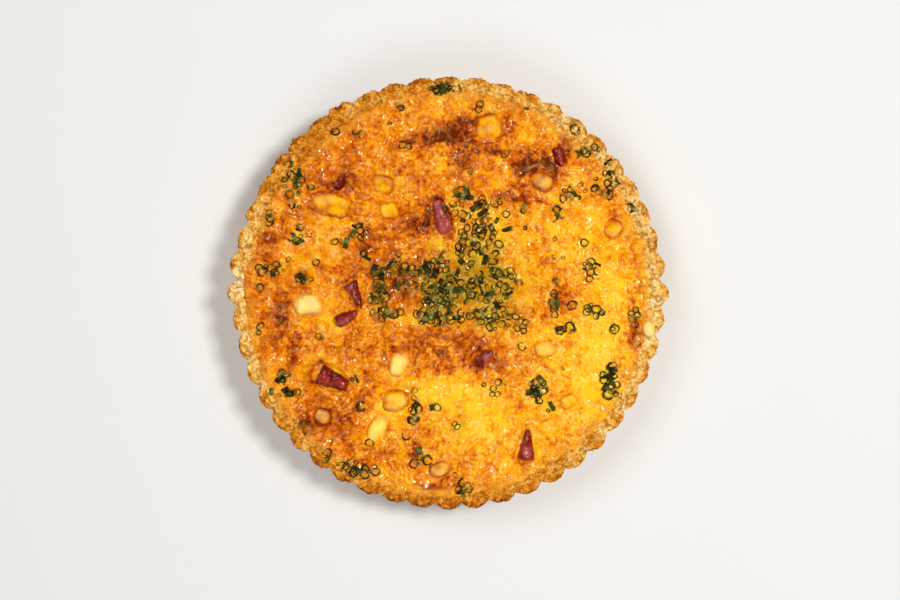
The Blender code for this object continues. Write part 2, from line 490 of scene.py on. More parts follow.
def disc(rings, radius):
    rows = [np.zeros((1, 2))]
    faces = []
    for k in range(1, rings + 1):
        turn = 2 * np.pi * np.arange(6 * k) / (6 * k)
        rows.append(np.column_stack((np.cos(turn), np.sin(turn))) * radius * k / rings)
        here = 1 + 3 * k * (k - 1)
        below = 1 + 3 * (k - 1) * (k - 2) if k > 1 else 0
        below_count = max(1, 6 * (k - 1))
        step = np.arange(6 * k)
        sector, along = np.divmod(step, k)
        outer = here + step
        outer_next = here + (step + 1) % (6 * k)
        inner = below + (sector * (k - 1) + along) % below_count
        inner_next = below + (sector * (k - 1) + along + 1) % below_count
        faces.append(np.column_stack((inner, outer, outer_next)))
        faces.append(np.column_stack((inner, outer_next, inner_next))[along < k - 1])
    return np.vstack(rows), np.vstack(faces)


plan, skin_faces = disc(SKIN_RINGS, SKIN_RADIUS)
x, y = plan.T
spot = flat(x, y)
radius = np.hypot(x, y)
angle = np.arctan2(y, x)
print("the sheet has", len(plan), "points, about", round(SKIN_RADIUS / SKIN_RINGS, 2), "mm apart")

# %% [markdown]
# First come the maps of how the surface baked. Toast runs from bright yellow at 0 to dark brown at 1.
# The oven browned the upper left more, and the right and the lower middle stayed yellow and runny. Each
# patch is a soft round spot at its own place, pulled out of shape by warping the places with noise.

# %% Where the surface browned
WARP = 3.0
warped_x = x + WARP * bumps(spot, 14, 11) + 1.5 * bumps(spot, 4, 12)
warped_y = y + WARP * bumps(spot, 14, 13) + 1.5 * bumps(spot, 4, 14)


def patch(centre_x, centre_y, half_x, half_y, strength):
    """A soft spot: full strength at its centre and almost nothing beyond its half sizes."""
    off = ((warped_x - centre_x) / half_x) ** 2 + ((warped_y - centre_y) / half_y) ** 2
    return strength * np.exp(-off)


BROWNED = (
    # centre x, centre y, half sizes, strength
    (-3, 81, 8, 5, 0.75),
    (-16, 79, 6, 3, 0.30),
    (8, 70, 8, 7, 0.40),
    (9, 84, 4, 7, 0.40),
    (20, 73, 12, 3, 0.30),
    (32, 86, 3, 7, 0.28),
    (44, 66, 9, 6, 0.55),
    (37, 59, 4, 7, 0.40),
    (54, 62, 4, 6, 0.35),
    (38, 49, 12, 4, 0.30),
    (60, 73, 5, 7, 0.35),
    (-18, 36, 11, 8, 0.28),
    (-9, 41, 4, 9, 0.35),
    (-41, 26, 13, 8, 0.22),
    (-57, 55, 9, 5, 0.35),
    (-93, 27, 6, 10, 0.22),
    (-86, -11, 4, 12, 0.45),
    (-79, -27, 3, 8, 0.35),
    (-26, 3, 14, 12, 0.30),
    (-52, -28, 11, 8, 0.18),
    (-5, -27, 24, 8, 0.28),
    (18, -33, 9, 7, 0.30),
    (0, -38, 14, 5, 0.25),
    (59, 0, 7, 9, 0.30),
    (45, -12, 8, 5, 0.25),
    (-17, -84, 3, 8, 0.35),
    (-4, -98, 9, 3, 0.40),
    (-73, -70, 7, 6, 0.45),
    (-45, -55, 9, 6, 0.25),
    (-60, -65, 12, 8, 0.24),
    (96, 0, 4, 30, 0.22),
    (97, -24, 4, 5, 0.45),
    (84, 46, 6, 10, 0.20),
    (-50, -80, 22, 8, 0.12),
)
STAYED_YELLOW = (
    (-1, 68, 6, 5, 0.25),
    (3, 95, 9, 6, 0.20),
    (41, 79, 8, 5, 0.22),
    (28, 56, 6, 6, 0.15),
    (-72, 19, 14, 9, 0.20),
    (-55, 38, 14, 6, 0.15),
    (-5, 27, 6, 5, 0.25),
    (28, 31, 10, 12, 0.20),
    (67, 26, 20, 20, 0.18),
    (30, 5, 24, 14, 0.10),
    (85, 0, 10, 12, 0.30),
    (78, -22, 14, 16, 0.28),
    (49, -20, 12, 8, 0.18),
    (72, -49, 13, 15, 0.28),
    (0, -52, 17, 10, 0.32),
    (-31, -59, 9, 14, 0.25),
    (-64, -14, 12, 8, 0.20),
    (-25, -38, 8, 8, 0.15),
    (23, -64, 15, 12, 0.20),
    (11, -76, 13, 9, 0.18),
    (49, -69, 10, 8, 0.12),
)
browning = sum(patch(*row) for row in BROWNED)
toast = 0.37 - 0.0008 * x + 0.0006 * y + 0.6 * browning - sum(patch(*row) for row in STAYED_YELLOW)
toast += 0.10 * layered(spot, 22, 21) + 0.07 * bumps(spot, 6, 24)
HERBY = (
    (20, 4, 17, 15, 0.9),
    (-4, 2, 12, 15, 0.9),
    (22, -13, 9, 6, 0.5),
    (14, 23, 11, 9, 0.5),
    (-35, 0, 4, 11, 0.6),
    (-26, 12, 10, 3, 0.4),
)
herb_tint = np.clip(sum(patch(*row) for row in HERBY), 0, 1)
print("toast runs from", round(toast.min(), 2), "to", round(toast.max(), 2))

# %% [markdown]
# Now the heights. Taking the size of noise without its sign gives rounded blisters that meet in sharp
# creases. Squeezing noise along one direction gives strands, and two sets of strands that take turns
# look like grated cheese that has melted. Where the skin stayed smooth both are weak, and the lumps of
# cheese are left calm, because their own pieces show there.


# %% Lumps, strands and pits
def creased(cell, seed):
    """Rounded lumps: 0 along their creases, which meander, and up to about 1 between them."""
    pushed = spot + 0.35 * cell * flat(bumps(spot, 0.7 * cell, seed), bumps(spot, 0.7 * cell, seed + 1))
    return np.abs(bumps(pushed, cell, seed + 2))


def strands(direction, seed, width=1.5, length=7.0):
    """Thin ridges from 0 to 1 that run in one direction and wander a little."""
    ahead = np.array((math.cos(math.radians(direction)), math.sin(math.radians(direction))))
    aside = np.array((-ahead[1], ahead[0]))
    sway = np.column_stack((bumps(spot, 9, seed), bumps(spot, 9, seed + 1))) * 3.0
    along = (plan + sway) @ ahead / length
    across = (plan + sway) @ aside / width
    return (1 - np.abs(bumps(flat(along, across), 1.0, seed + 2))) ** 4


turns = ease_between(bumps(spot, 16, 31), -0.25, 0.25)
grated = strands(70, 32) * turns + strands(-25, 36) * (1 - turns)
large_lumps = creased(12, 41)
middle_lumps = creased(5.5, 44)
small_lumps = creased(2.5, 47)
SMOOTH = (
    (-68, 20, 13, 9, 0.7),
    (-55, 75, 20, 9, 0.4),
    (0, -55, 12, 10, 0.3),
    (72, 50, 12, 14, 0.4),
    (-55, -30, 12, 8, 0.4),
    (-75, -45, 10, 10, 0.3),
)
shrivelled = ease_between(0.6 + 0.5 * bumps(spot, 16, 50) - sum(patch(*row) for row in SMOOTH), 0.3, 0.6)
grain = layered(spot, 1.7, 45, layers=2)

PITS = 90
rng = np.random.default_rng(5)
pits = np.zeros(len(x))
for _ in range(PITS):
    pit_radius = SKIN_RADIUS * 0.95 * math.sqrt(rng.random())
    pit_turn = rng.uniform(0, 2 * math.pi)
    pit_size = rng.uniform(0.7, 1.5)
    off = np.hypot(x - pit_radius * math.cos(pit_turn), y - pit_radius * math.sin(pit_turn))
    pits += np.exp(-((off / pit_size) ** 2)) * rng.uniform(0.3, 0.8)

calm = np.ones(len(x))
for name in CHEESE:
    calm *= 1 - 0.85 * (1 - ease_between(nearness(name, x, y), 0.7, 1.25))

wrinkles = (0.2 + 0.8 * shrivelled) * (1.2 * small_lumps + 0.45 * grated)
relief = 2.4 * large_lumps + 1.5 * middle_lumps + wrinkles
relief = calm * (relief + 0.14 * grain - pits) - 1.1
level = FILLING_LEVEL + 1.0 - 0.8 * (radius / FILLING_RADIUS) ** 4 + 0.9 * layered(spot, 30, 51, layers=2)
print("lumps stand", round(relief.max(), 1), "mm high at most")

# %% [markdown]
# At the crust the egg crept up the pastry and baked on. The sheet rises towards the rim, bends over it
# at a distance that wanders, and dives into the pastry. Around each die of ham the skin is drawn up into
# a collar, and around each lump of cheese the skin is darkened in a thin line.

# %% The edge and the collars
SEAM = (
    # direction in degrees, half width in degrees, how much further out the egg reaches
    (135, 28, -2.4),
    (45, 22, -0.9),
    (-45, 30, -0.6),
    (90, 18, 1.0),
    (180, 25, 1.2),
    (-95, 25, 1.4),
    (-140, 20, 0.6),
    (0, 20, 0.4),
)
TOP_OF_CRUST = ((FILLING_RADIUS - 0.5, RIM_HEIGHT - 2.6), (RIM_RADIUS - 5.5, RIM_HEIGHT - 0.2))


def crust_level(at_radius):
    (low_radius, low_level), (high_radius, high_level) = TOP_OF_CRUST
    return np.interp(at_radius, (low_radius, high_radius), (low_level, high_level))


def facing(angles, direction, half_width):
    """1 in a direction given in degrees, fading to almost 0 beyond the half width."""
    off = (np.degrees(angles) - direction + 180) % 360 - 180
    return np.exp(-((off / half_width) ** 2))


round_about = flat(np.cos(angle) * 100, np.sin(angle) * 100)
seam = 101.4 + sum(reach * facing(angle, direction, width) for direction, width, reach in SEAM)
seam += 1.0 * bumps(round_about, 11, 61) + 0.7 * bumps(round_about, 3.5, 62)
seam = np.minimum(seam, 103.4)
climb = ease_between(radius, seam - 10, seam - 0.5)
level = level * (1 - climb) + (crust_level(seam) + 0.2) * climb
height = level + relief * (1 - 0.35 * climb)
height -= 0.35 * np.clip(radius - seam, 0, None) ** 2
pastry_tint = ease_between(radius + 1.5 * bumps(spot, 4, 69), seam - 5, seam)

ragged = bumps(spot, 8, 65) + 0.6 * bumps(spot, 3.0, 66)
broken = np.clip(0.35 + 1.5 * bumps(spot, 9, 63), 0, 1)
for name in HAM:
    narrowing, ridge, cover, pink_and_lit_side = HAM_CUTS[name]
    near = nearness(name, x, y, narrowing) + (0.14 + 0.2 * cover) * ragged + 0.25 * cover
    lap = np.exp(-(((near - 1.2) / 0.2) ** 2))
    height += 0.5 * lap * (outlines[name].top - 0.8 - height)
    inside = 1 - ease_between(near, 0.82, 1.08)
    height += inside * (outlines[name].top - 3.2 - height)
    toast += 0.20 * np.exp(-(((near - 1.05) / 0.14) ** 2)) * (0.3 + broken)
for name in CHEESE:
    browned, creamy, cover = CHEESE_LOOKS[name]
    near = nearness(name, x, y) + (0.20 + 0.2 * cover) * ragged + 0.2 * cover
    inside = 1 - ease_between(near, 0.6, 1.0)
    height += inside * (outlines[name].top - 1.2 + 0.6 * bumps(spot, 7, 67) - height)
    toast += (1 - ease_between(near, 0.8, 1.3)) * (browned + 0.08 - toast) * 0.8
    toast += 0.40 * np.exp(-(((near - 1.04) / 0.08) ** 2)) * broken
height = np.minimum(height, RIM_HEIGHT + 0.8)
# The creases between the blisters are painted darker: painted shade. The tops of the large lumps are
# browned more.
crease_shade = (1 - large_lumps) ** 12 * broken + 0.5 * (1 - middle_lumps) ** 10
toast += calm * (0.14 * (large_lumps - 0.3) + 0.24 * crease_shade + 1.1 * browning * (1 - middle_lumps) ** 5)
toast += calm * (0.2 + 0.8 * shrivelled) * (0.32 * (1 - small_lumps) ** 9 - 0.05)

# %% [markdown]
# The sheet is closed into a body: rings are added below its edge, and a point closes the bottom.


# %% Close the filling
def close_below(points, faces, rings, levels):
    """Adds rings of (radius, height) under the outermost ring of a disc, and closes the last one."""
    count = 6 * rings
    outer = np.arange(len(points) - count, len(points))
    turn = 2 * np.pi * np.arange(count) / count
    for ring_radius, ring_height in levels:
        circle = np.column_stack((np.cos(turn), np.sin(turn))) * ring_radius
        ring = np.column_stack((circle, np.full(count, ring_height)))
        inner = np.arange(len(points), len(points) + count)
        points = np.vstack((points, ring))
        ahead = np.roll(np.arange(count), -1)
        faces = np.vstack((faces, np.column_stack((outer, inner, inner[ahead]))))
        faces = np.vstack((faces, np.column_stack((outer, inner[ahead], outer[ahead]))))
        outer = inner
    points = np.vstack((points, (0, 0, levels[-1][1])))
    centre = np.full(count, len(points) - 1)
    return points, np.vstack((faces, np.column_stack((outer, centre, outer[ahead]))))


SIDES = (
    # radius, height
    (FILLING_RADIUS + 1.5, 28.0),
    (FILLING_RADIUS - 1.0, 26.0),
    (FILLING_RADIUS - 6.0, FLOOR_OF_FILLING),
)
body, body_faces = close_below(np.column_stack((x, y, height)), skin_faces, SKIN_RINGS, SIDES)
spare = len(body) - len(x)
filling_mesh = mesh_from("egg_filling", body, body_faces)
store(filling_mesh, "toast", np.append(toast, np.full(spare, 0.3)))
store(filling_mesh, "herbs", np.append(herb_tint, np.zeros(spare)))
store(filling_mesh, "strands", np.append(grated * calm, np.zeros(spare)))
store(filling_mesh, "pastry_tint", np.append(pastry_tint, np.ones(spare)))
filling = place(filling_mesh, "egg_filling")
print("the filling has", len(body_faces), "triangles")

# %% [markdown]
# The skin's colour is read from the toast map, which also holds painted shade in the creases, through a
# ramp of baked colours, from egg yellow through amber to red brown, with finer noise added to the map so
# that no two blisters match. Strands of cheese are paler, partly their own colour and partly a painted
# sheen, and small cream flecks are painted glints. The gloss is oily and uneven: some places are nearly
# wet and others have dried.

# %% Material of the filling
BAKED = (
    (0.0, "FAC422"), (0.2, "F5AC10"), (0.4, "E88808"),
    (0.6, "CA6205"), (0.8, "9C3A04"), (1.0, "662004"),
)

skin_paint, tree, shader = new_material("browned_egg_and_cheese", 0.4)
value = stored(tree, "toast") + (speckle(tree, 5.0, seed=1).between(0.32, 0.68) - 0.5) * 0.24
value = value + (speckle(tree, 1.6, seed=2).between(0.32, 0.68) - 0.5) * 0.15
base = ramp(tree, value.clamped(), BAKED)
young = value.between(0.25, 0.65, 1.0, 0.2)
# Strands of cheese are painted paler: partly their own colour, partly a painted sheen along them.
pale = stored(tree, "strands").between(0.3, 0.9) * speckle(tree, 7.0, seed=3).between(0.42, 0.62)
base = mix(tree, pale * young * 0.75, base, "FFD252")
# Small cream flecks are painted glints: highlights painted into the skin's colour.
painted_glints = speckle(tree, 1.0, detail=2.0, seed=4).between(0.6, 0.67)
painted_glints = painted_glints * speckle(tree, 8.0, seed=5).between(0.38, 0.6)
base = mix(tree, painted_glints * young * 0.6, base, "FFE6B0")
herb_juice = stored(tree, "herbs") * speckle(tree, 3.0, seed=6).between(0.25, 0.55)
base = mix(tree, herb_juice * 0.75, base, "7C7208")
crumby = stored(tree, "pastry_tint") * speckle(tree, 3.0, seed=10).between(0.35, 0.65)
base = mix(tree, crumby * 0.8, base, "DA9430")
wet = speckle(tree, 3.0, seed=9).between(0.50, 0.58)
finish_shader(
    tree, shader, base, roughness=wet * -0.28 + 0.38,
    grain=speckle(tree, 1.5, detail=1.5, seed=8), depth=0.6, strength=0.9,
    Specular_Tint=WARM_SHINE,
    Subsurface_Weight=0.12, Subsurface_Scale=2 * MM, Subsurface_Radius=(1.0, 0.5, 0.15),
)
tree.links.new((wet * 0.8 + 0.02).socket, shader.inputs["Specular IOR Level"])
filling_mesh.materials.append(skin_paint)
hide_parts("filling")
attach(filling, "root")
print("the filling goes through", len(BAKED), "baked colours")

# %% [markdown]
# The crust follows a rule: one profile of pastry goes once around, and its outer side waves in and out
# with the flutes of the tin. Geometry Nodes do that. The profile is a chain of points in the X-Z plane,
# with more points where the shape bends. The tree makes a grid, gives each grid column the profile
# points, turns them around the axis, and pulls the outer side in between the crests of the flutes.


# %% Profile of the crust
def chain(*stretches):
    """Points along straight stretches. Each stretch is (end radius, end height, steps)."""
    places = [(0.0, 0.0)]
    for end_radius, end_height, steps in stretches:
        start_radius, start_height = places[-1]
        for step in range(1, steps + 1):
            share_done = step / steps
            places.append((
                start_radius + (end_radius - start_radius) * share_done,
                start_height + (end_height - start_height) * share_done,
            ))
    return places


INNER_TOP = FILLING_RADIUS + 0.3
profile = chain(
    (92.0, 0.0, 6),
    (BASE_RADIUS - 1.6, 0.0, 7),
    (BASE_RADIUS - 0.5, 0.45, 2),
    (BASE_RADIUS + 0.1, 1.4, 2),
    (RIM_RADIUS - 0.2, RIM_HEIGHT - 1.8, 30),
    (RIM_RADIUS - 0.5, RIM_HEIGHT - 0.7, 2),
    (RIM_RADIUS - 1.4, RIM_HEIGHT - 0.1, 3),
    (RIM_RADIUS - 5.5, RIM_HEIGHT - 0.2, 8),
    (INNER_TOP - 0.8, RIM_HEIGHT - 2.6, 12),
    (INNER_TOP - 1.2, RIM_HEIGHT - 6.0, 2),
    (INNER_TOP - 6.0, CRUST_FLOOR, 2),
    (0.0, CRUST_FLOOR, 2),
)
profile_mesh = bpy.data.meshes.new("crust_profile")
profile_mesh.from_pydata([(r * MM, 0, z * MM) for r, z in profile], [], [])
print("the profile has", len(profile), "points")

# %% [markdown]
# The tree's inputs are the sizes of the tin. Each flute is a rounded crest with a sharper valley between
# it and the next: the absolute cosine, raised to the power called Breadth.

# %% Geometry tree of the fluted crust
CRUST_NUMBERS = {
    "Points around": FLUTES * 24,
    "Points in profile": len(profile),
    "Flutes": FLUTES,
    "Rim radius": RIM_RADIUS * MM,
    "Base radius": BASE_RADIUS * MM,
    "Height": RIM_HEIGHT * MM,
    "Depth at rim": 3.3 * MM,
    "Depth at base": 1.2 * MM,
    "Breadth": 0.7,
    "Reach of flutes": 7.5 * MM,
}


def build_crust_tree():
    tree, given = new_geometry_tree("fluted_crust", CRUST_NUMBERS)
    around = given["Points around"]
    count = given["Points in profile"]
    sizes = {"Size X": 1.0, "Size Y": 1.0, "Vertices X": around + 1, "Vertices Y": count}
    grid = node(tree, "GeometryNodeMeshGrid", sizes).outputs["Mesh"]
    index = Formula(tree, node(tree, "GeometryNodeInputIndex").outputs["Index"])
    column = (index / count).do("FLOOR")
    row = index.do("MODULO", count)
    position = node(tree, "GeometryNodeInputPosition").outputs["Position"]
    inputs = {"Geometry": given["Geometry"], "Value": position, "Index": row}
    sampled = node(tree, "GeometryNodeSampleIndex", inputs, data_type="FLOAT_VECTOR", domain="POINT")
    parts = node(tree, "ShaderNodeSeparateXYZ", {0: sampled.outputs["Value"]})
    radius = Formula(tree, parts.outputs["X"])
    height = Formula(tree, parts.outputs["Z"])

    turn = column / around * (2 * math.pi)
    rise = height / given["Height"]
    outer = given["Base radius"] + (given["Rim radius"] - given["Base radius"]) * rise
    share = ((radius - outer) / given["Reach of flutes"] + 1.0).between(0.0, 1.0)
    crest = (turn * given["Flutes"] / 2.0).do("COSINE").do("ABSOLUTE").do("POWER", given["Breadth"])
    depth = given["Depth at base"] + (given["Depth at rim"] - given["Depth at base"]) * rise
    fluted = radius - depth * share * (crest * -1.0 + 1.0)
    place_in_ring = node(
        tree, "ShaderNodeCombineXYZ",
        {"X": fluted * turn.do("COSINE"), "Y": fluted * turn.do("SINE"), "Z": height},
    ).outputs[0]
    shaped = node(tree, "GeometryNodeSetPosition", {"Geometry": grid, "Position": place_in_ring}).outputs[0]
    for label, value in (("crest", crest), ("outside", share)):
        inputs = {"Geometry": shaped, "Name": label, "Value": value}
        kept = node(tree, "GeometryNodeStoreNamedAttribute", inputs, data_type="FLOAT", domain="POINT")
        shaped = kept.outputs[0]
    merging = {"Geometry": shaped, "Distance": 0.001 * MM}
    closed = node(tree, "GeometryNodeMergeByDistance", merging).outputs[0]
    real = node(tree, "GeometryNodeRealizeInstances", {"Geometry": closed}).outputs[0]
    painted = node(tree, "GeometryNodeSetMaterial", {"Geometry": real, "Material": crust_paint}).outputs[0]
    tree.links.new(painted, tree.nodes.new("NodeGroupOutput").inputs[0])
    return tree


# %% [markdown]
# Shortcrust is matte and crumbly. Where the tin pressed it the colour is an even golden brown. The map on
# the mesh says how dark a place is; it holds the browning, and painted light and shade besides: darker
# crests of the flutes, partly browning and partly painted shading, and crumb tops painted lighter as
# painted highlights. Its crevices, pores and cracks are painted dark, as painted shade, and two sizes of
# noise add the crumb.

# %% Material of the crust
crust_paint, tree, shader = new_material("baked_shortcrust", 0.7)
value = stored(tree, "bake_and_painted_light") + (speckle(tree, 6.0, seed=11).between(0.3, 0.7) - 0.5) * 0.2
value = value + (speckle(tree, 1.2, seed=12).between(0.3, 0.7) - 0.5) * 0.3
PASTRY = (
    (0.0, "FFE9AE"), (0.25, "F6C464"), (0.45, "E8992A"),
    (0.65, "C97412"), (0.85, "8C440C"), (1.0, "4A2008"),
)
base = ramp(tree, value.clamped(), PASTRY)
# Painted shade in the crevices, pores and cracks.
base = mix(tree, stored(tree, "crevice_shade").clamped() * 0.65, base, "7A3C0A")
roughness = speckle(tree, 3.0, seed=13).between(0.3, 0.7, 0.4, 0.7)
finish_shader(
    tree, shader, base, roughness=roughness,
    grain=speckle(tree, 0.9, detail=5.0, seed=14), depth=0.4, strength=0.8,
    Specular_IOR_Level=0.12, Specular_Tint=colour("FFDCA0"),
)

# %% [markdown]
# Now the tree runs once on the profile. What comes out is a plain mesh, which still carries two numbers
# for each point: how near it is to the crest of a flute, and how far it is on the outside.

# %% Turn the profile into the crust
crust_tree = build_crust_tree()
crust = grow(place(profile_mesh, "profile"), crust_tree, CRUST_NUMBERS, "fluted_crust")
print("the crust has", len(crust.data.vertices), "points and", len(crust.data.polygons), "faces")

# %% [markdown]
# The tree gives a perfect crust, and a real one is not. In numbers: a few flutes puffed out over
# the tin, some slumped, the trimmed rim waves up and down, its top is torn and full of pores, and cracks
# run along it. Everything is done in the directions where this quiche shows it.

# %% Bake the crust
rim = points_of(crust.data)
rim_angle = np.arctan2(rim[:, 1], rim[:, 0])
rim_radius = np.hypot(rim[:, 0], rim[:, 1])
rise = np.clip(rim[:, 2] / RIM_HEIGHT, 0, 1.02)
outside = np.empty(len(rim))
crust.data.attributes["outside"].data.foreach_get("value", outside)
crest = np.empty(len(rim))
crust.data.attributes["crest"].data.foreach_get("value", crest)

# rows give a direction and a half width in degrees, then a strength; PUFFED has its reach second
PUFFED = ((180, 2.6, 3.4), (172, 2.4, 3.2), (0, 2.6, 3.0), (7, 1.6, 2.6), (123, 2.0, 2.6), (-7, 1.2, 2.4))
BROWNED_RIM = ((0, 50, -0.18), (175, 28, -0.20), (130, 35, 0.20), (-95, 40, 0.20))
SLUMPED = ((135, 26, 0.75), (75, 30, 0.6), (20, 22, 0.45), (-35, 16, 0.3))
puff = np.max([reach * facing(rim_angle, direction, width) for direction, reach, width in PUFFED], axis=0)
slump = sum(strength * facing(rim_angle, direction, width) for direction, width, strength in SLUMPED)
slump = np.clip(slump, 0, 1)

around_rim = np.column_stack((np.cos(rim_angle) * 110, np.sin(rim_angle) * 110, rim[:, 2]))
on_top = ease_between(rim[:, 2], RIM_HEIGHT - 3.2, RIM_HEIGHT - 1.0)
on_top *= ease_between(rim_radius, INNER_TOP - 2, INNER_TOP)
reach = puff * outside * rise**4
reach += slump * 0.6 * 3.4 * (1 - crest) * outside * rise
reach += (0.35 + 0.6 * slump) * layered(around_rim, 6, 71) * outside * rise
reach += 0.12 * layered(around_rim, 2.2, 74) * outside
pushed = rim + 1.1 * np.column_stack([bumps(rim, 2.4, 76 + axis) for axis in range(3)])
nearest, second = crumbs(pushed, 2.6, 81)
fine_nearest, fine_second = crumbs(pushed, 1.3, 82)
nuggets = 1 - np.clip(nearest / 0.8, 0, 1) ** 2
grains = 1 - np.clip(fine_nearest / 0.8, 0, 1) ** 2
crevices = 1 - ease_between(second - nearest, 0.0, 0.16)
fine_crevices = 1 - ease_between(fine_second - fine_nearest, 0.0, 0.2)
wave_up = 0.5 * np.sin(5 * rim_angle + 0.7) + 0.35 * np.sin(13 * rim_angle + 2.1)
rough = np.clip(0.75 + 0.6 * facing(rim_angle, 125, 50) + 0.4 * bumps(around_rim, 18, 85), 0.4, 1.4)
crumb = 0.9 * nuggets + 0.6 * grains + 0.8 * np.abs(bumps(pushed, 2.2, 83)) - 1.0
crumb = rough * crumb + bumps(rim, 6.0, 86)
along_rim = flat(rim_angle * 12, (rim_radius + rim[:, 2]) / 2.4)
splits = ease_between(1 - np.abs(bumps(along_rim, 1.0, 87)), 0.86, 1.0)
splits *= ease_between(bumps(rim, 7, 88), -0.1, 0.25)
lift = wave_up * rise**2 + on_top * (crumb - 0.5 * crevices - 0.3 * fine_crevices - 0.8 * splits)
lift = np.minimum(lift, HIGHEST - rim[:, 2])
flakes = 1.3 * nuggets + 0.7 * grains + 0.8 * bumps(pushed, 1.9, 89) - 0.9
reach += outside * rise**2 * (0.15 + 0.5 * rise**6) * rough * flakes
scale = (rim_radius + reach) / np.maximum(rim_radius, 1e-6)
rim[:, :2] *= scale[:, None]
rim[:, 2] += lift
rim[:, 2] = np.where(rise < 0.02, np.maximum(rim[:, 2], 0), rim[:, 2])
move_points(crust.data, rim)

# This map holds the browning and painted light. The crests of the flutes are darker: partly browning,
# partly painted shading that makes the flutes show.
bake_and_painted_light = 0.40 + 0.02 * (1 - on_top) + 0.16 * crest * outside
bake_and_painted_light += sum(more * facing(rim_angle, direction, width) for direction, width, more in BROWNED_RIM)
bake_and_painted_light += (0.06 + 0.06 * on_top) * layered(around_rim, 14, 91)
lip = ease_between(rim_radius, RIM_RADIUS - 2.5, RIM_RADIUS - 0.5)
# The tops of the crumbs are painted lighter and the gaps between them darker: painted highlights and
# painted shade.
bake_and_painted_light += on_top * (0.14 * lip - 0.16 * (nuggets - 0.5) - 0.10 * grains)
bake_and_painted_light += 0.14 * (1 - ease_between(rim_radius, FILLING_RADIUS + 2, FILLING_RADIUS + 6)) * on_top
store(crust.data, "bake_and_painted_light", bake_and_painted_light)
# Crevices, pores and cracks are painted dark: painted shade in the hollows.
crevice_shade = 0.9 * crevices * (nuggets < 0.6) + 0.5 * fine_crevices + splits
store(crust.data, "crevice_shade", crevice_shade * (0.25 + 0.75 * on_top))
crust.data.shade_smooth()
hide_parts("crust")
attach(crust, "root")
print("the crust reaches", round(np.hypot(rim[:, 0], rim[:, 1]).max(), 1), "mm from its centre")

# %% [markdown]
# Ham and cheese start from the solids of the frame, so they are exactly where the frame has them. Each
# solid is remeshed into small even faces and rounded. Ham then gets the pulls and fibres of cut meat,
# and cheese softens. A voxel remesh always gives a closed body, whatever the solid's own faces were.


# %% Shape of the ham and cheese
def fine_copy(name, new_name, voxel, rounding):
    """The solid of a node, remeshed into even faces."""
    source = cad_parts[name]
    copy = place(source.data.copy(), new_name)
    copy.data.materials.clear()
    edit = bmesh.new()
    edit.from_mesh(copy.data)
    bmesh.ops.remove_doubles(edit, verts=edit.verts, dist=0.001 * MM)
    edit.to_mesh(copy.data)
    edit.free()
    remesh = copy.modifiers.new("remesh", "REMESH")
    remesh.mode = "VOXEL"
    remesh.voxel_size = voxel * MM
    smooth = copy.modifiers.new("smooth", "SMOOTH")
    smooth.iterations = rounding
    settled = copy.evaluated_get(bpy.context.evaluated_depsgraph_get())
    mesh = bpy.data.meshes.new_from_object(settled)
    mesh.name = new_name
    bpy.data.objects.remove(copy)
    mesh.shade_smooth()
    return place(mesh, new_name)


def bake_piece(piece, name, moved, material):
    """Moves the faces of a piece in and out, and lets it stand for its solid."""
    points = points_of(piece.data)
    out = normals_of(piece.data)
    move_points(piece.data, points + out * moved[:, None])
    store(piece.data, "rim", nearness(name, points[:, 0], points[:, 1]))
    piece.data.materials.append(material)
    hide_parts(name)
    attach(piece, "root")
    return piece


HAM_RISE = 0.9
HAM_BREADTH = 1.2


def cut_ham(name):
    """A die narrows towards one end, and its upper faces fall away from a ridge."""
    narrowing, ridge, cover, pink_and_lit_side = HAM_CUTS[name]
    piece = fine_copy(name, f"die_of_{name}", 0.42, 2)
    points = points_of(piece.data)
    outline = outlines[name]
    along, across = along_and_across(name, points[:, 0], points[:, 1])
    from_axis = (points[:, :2] - outline.centre) @ outline.short_way
    shift = from_axis * (1 - HAM_BREADTH * width_at(along, narrowing))
    points[:, :2] -= shift[:, None] * outline.short_way
    upper = ease_between(points[:, 2], outline.top - 6, outline.top)
    points[:, 2] += (HAM_RISE - ridge * np.abs(across) ** 1.5) * upper
    move_points(piece.data, points)
    moved = 0.35 * layered(points, 4.0, 101) + 0.22 * layered(points * (1, 1, 2.5), 1.4, 105, layers=2)
    # One side of each die is painted pinker than the other: a painted highlight on its lit side.
    store(piece.data, "pink_and_lit_side", pink_and_lit_side + 0.35 * across + 0.5 * bumps(points, 4.0, 108))
    return bake_piece(piece, name, moved, ham_paint)


def soften_cheese(name):
    """A lump sags towards its border, so its edge sinks under the egg."""
    browned, creamy, cover = CHEESE_LOOKS[name]
    piece = fine_copy(name, f"lump_of_{name}", 0.55, 3)
    points = points_of(piece.data)
    near = nearness(name, points[:, 0], points[:, 1])
    upper = ease_between(points[:, 2], outlines[name].top - 6, outlines[name].top - 1)
    points[:, 2] -= 1.3 * np.clip(near, 0, 1) ** 4 * upper
    move_points(piece.data, points)
    moved = 0.75 * layered(points, 6.0, 111) + 0.15 * bumps(points, 1.6, 115)
    toasted = browned + 0.30 * ease_between(near, 0.55, 1.0) + 0.22 * bumps(points, 4.5, 116)
    store(piece.data, "toast", toasted)
    store(piece.data, "cream", creamy * (1.1 - 0.8 * near**2) + 0.25 * bumps(points, 5.0, 117))
    return bake_piece(piece, name, moved, cheese_paint)


# %% [markdown]
# Cured ham is deep red, and pink where the knife went through; one side of each die is painted pinker
# still, a painted highlight on the side the light falls on. It has paler streaks of fat, and it is moist.
# Cheese is a smooth, pale yellow that turns amber towards its edges, where it browned together with the
# egg.

